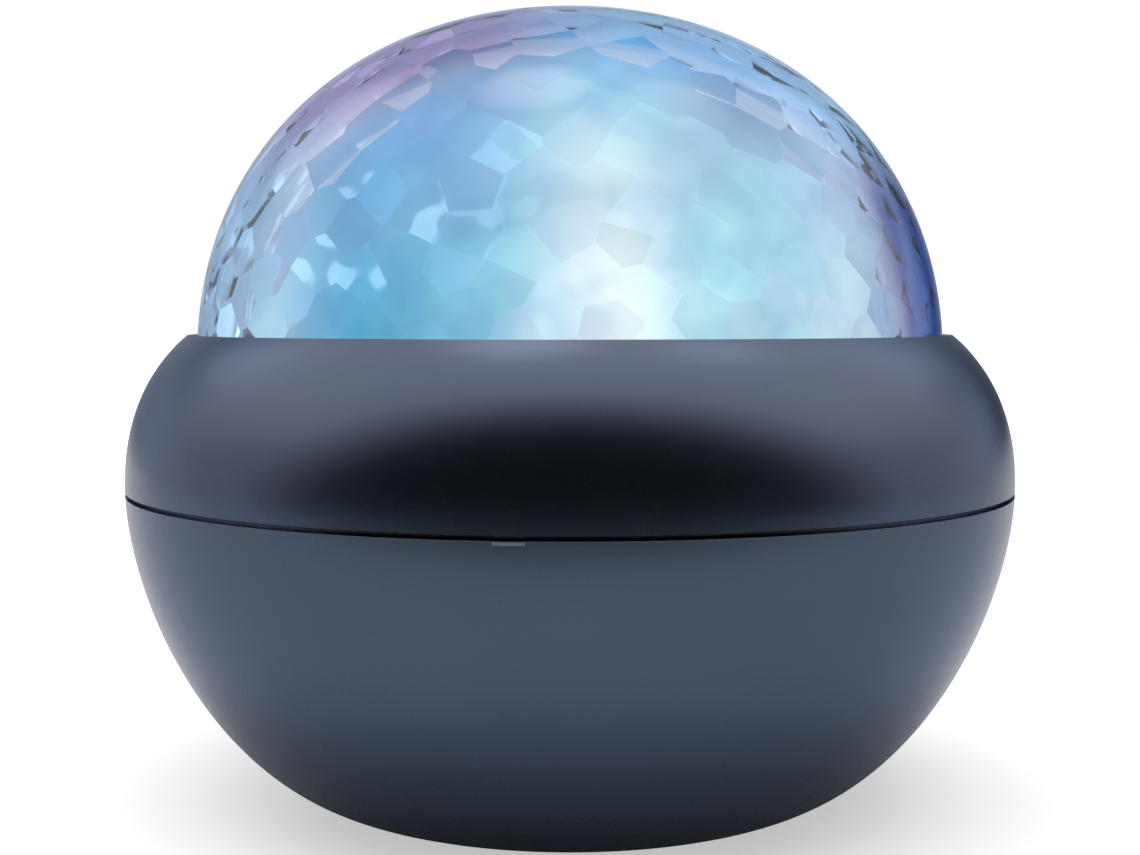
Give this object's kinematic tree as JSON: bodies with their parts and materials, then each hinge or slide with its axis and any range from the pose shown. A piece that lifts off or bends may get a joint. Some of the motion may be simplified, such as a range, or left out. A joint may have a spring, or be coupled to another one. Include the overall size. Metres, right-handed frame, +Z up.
{
  "type": "crystal night light",
  "caption": "Round table night light: a clear dome, faceted inside and lit from below, turns on a deep rounded body with rubber feet, a rear charging socket and push buttons.",
  "frame": {"origin": "on the table under the middle of the body", "axes": "+Z up, -Y towards the front, +Y towards the charging socket and the buttons"},
  "size_m": [0.12, 0.12, 0.1074],
  "materials": {
    "shell_plastic": "satin soft-touch, dark slate blue",
    "crystal": "clear and polished, faceted inside",
    "milky_plastic": "milky, lets light through",
    "white_plastic": "semi-gloss white",
    "dark_plastic": "dark grey, moulded",
    "grey_plastic": "mid grey, moulded",
    "slide_plastic": "natural low-friction plastic",
    "rubber": "matte black",
    "steel": "zinc-plated",
    "board_green": "circuit board, green",
    "board_white": "circuit board, white",
    "battery": "shrink sleeve, blue",
    "lead": "pale grey insulation",
    "red_light": "clear lens over red",
    "green_light": "clear lens over green",
    "blue_light": "clear lens over blue",
    "white_light": "clear lens over yellow phosphor"
  },
  "bodies": {
    "base": {"lower_bowl": "shell_plastic", "upper_shell": "shell_plastic", "deck": "dark_plastic", "slide_ring": "slide_plastic", "reflector_tray": "white_plastic", "light_diffuser": "milky_plastic", "led_board": "board_white", "led_red": "red_light", "led_green": "green_light", "led_blue": "blue_light", "led_white": "white_light", "led_screw_1": "steel", "led_screw_2": "steel", "gearbox": "grey_plastic", "motor_can": "steel", "battery": "battery", "control_board": "board_green", "charging_socket": "steel", "driver_chip": "dark_plastic", "light_switch": "dark_plastic", "turn_switch": "dark_plastic", "led_plug": "white_plastic", "motor_plug": "white_plastic", "battery_plug": "white_plastic", "led_lead": "lead", "motor_lead": "lead", "battery_lead": "lead", "foot_pad_1": "rubber", "foot_pad_2": "rubber", "foot_pad_3": "rubber", "foot_pad_4": "rubber", "case_screw_1": "steel", "case_screw_2": "steel", "case_screw_3": "steel", "case_screw_4": "steel", "deck_screw_1": "steel", "deck_screw_2": "steel", "deck_screw_3": "steel", "deck_screw_4": "steel", "tray_screw_1": "steel", "tray_screw_2": "steel", "tray_screw_3": "steel", "motor_screw_1": "steel", "motor_screw_2": "steel", "board_screw_1": "steel", "board_screw_2": "steel"},
    "turntable": {"crystal_dome": "crystal", "ring_gear": "white_plastic", "dome_screw_1": "steel", "dome_screw_2": "steel", "dome_screw_3": "steel"},
    "pinion": {"drive_pinion": "white_plastic", "motor_shaft": "steel"},
    "light_button": {"light_button": "grey_plastic", "light_plunger": "grey_plastic"},
    "turn_button": {"turn_button": "grey_plastic", "turn_plunger": "grey_plastic"}
  },
  "joints": [
    {"name": "dome_turn", "type": "hinge", "parent": "base", "child": "turntable", "pos_m": [0, 0, 0.0515], "axis": [0, 0, 1], "continuous": true},
    {"name": "pinion_turn", "type": "hinge", "parent": "base", "child": "pinion", "pos_m": [0.036, 0, 0.0515], "axis": [0, 0, 1], "continuous": true},
    {"name": "light_press", "type": "slide", "parent": "base", "child": "light_button", "axis": [0, -1, 0], "range_m": [0, 0.0005], "stiffness_N_per_m": 800, "springref_m": -0.0005},
    {"name": "turn_press", "type": "slide", "parent": "base", "child": "turn_button", "axis": [0, -1, 0], "range_m": [0, 0.0005], "stiffness_N_per_m": 800, "springref_m": -0.0005}
  ],
  "couplings": [
    {"joint": "pinion_turn", "follows": "dome_turn", "ratio": 6}
  ]
}
